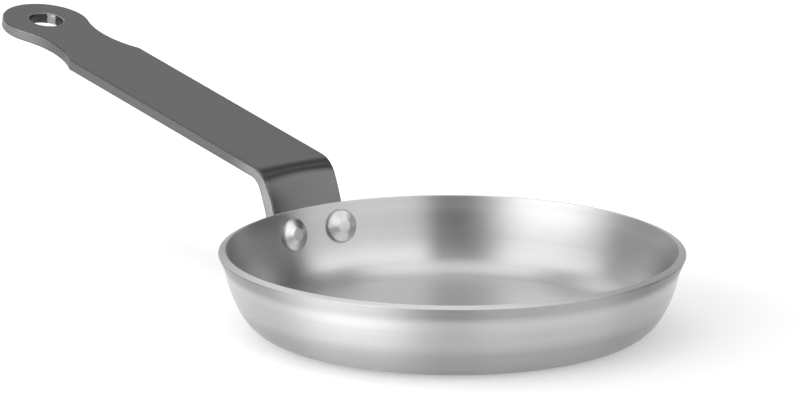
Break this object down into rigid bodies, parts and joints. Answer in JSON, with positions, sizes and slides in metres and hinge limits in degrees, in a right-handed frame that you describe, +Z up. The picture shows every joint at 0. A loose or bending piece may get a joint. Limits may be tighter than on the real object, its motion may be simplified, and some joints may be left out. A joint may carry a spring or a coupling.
{
  "type": "pancake pan",
  "caption": "Small round steel pancake pan with a flat base, leaning wall and flared lip, and a long bent strap handle with a hang hole, riveted through the wall.",
  "frame": {"origin": "middle of the base's underside, on the pan's axis", "axes": "+Z up along the pan's axis, handle along -X, Y across the handle"},
  "size_m": [0.2851, 0.1398, 0.0622],
  "materials": {
    "pan_steel": "satin steel, brushed round the pan's axis",
    "handle_coating": "smooth dark grey coating, half matt",
    "rivet_steel": "pressed steel, bright"
  },
  "bodies": {
    "root": {"pan_body": "pan_steel", "strap_handle": "handle_coating", "rivet_left": "rivet_steel", "rivet_right": "rivet_steel"}
  },
  "joints": []
}
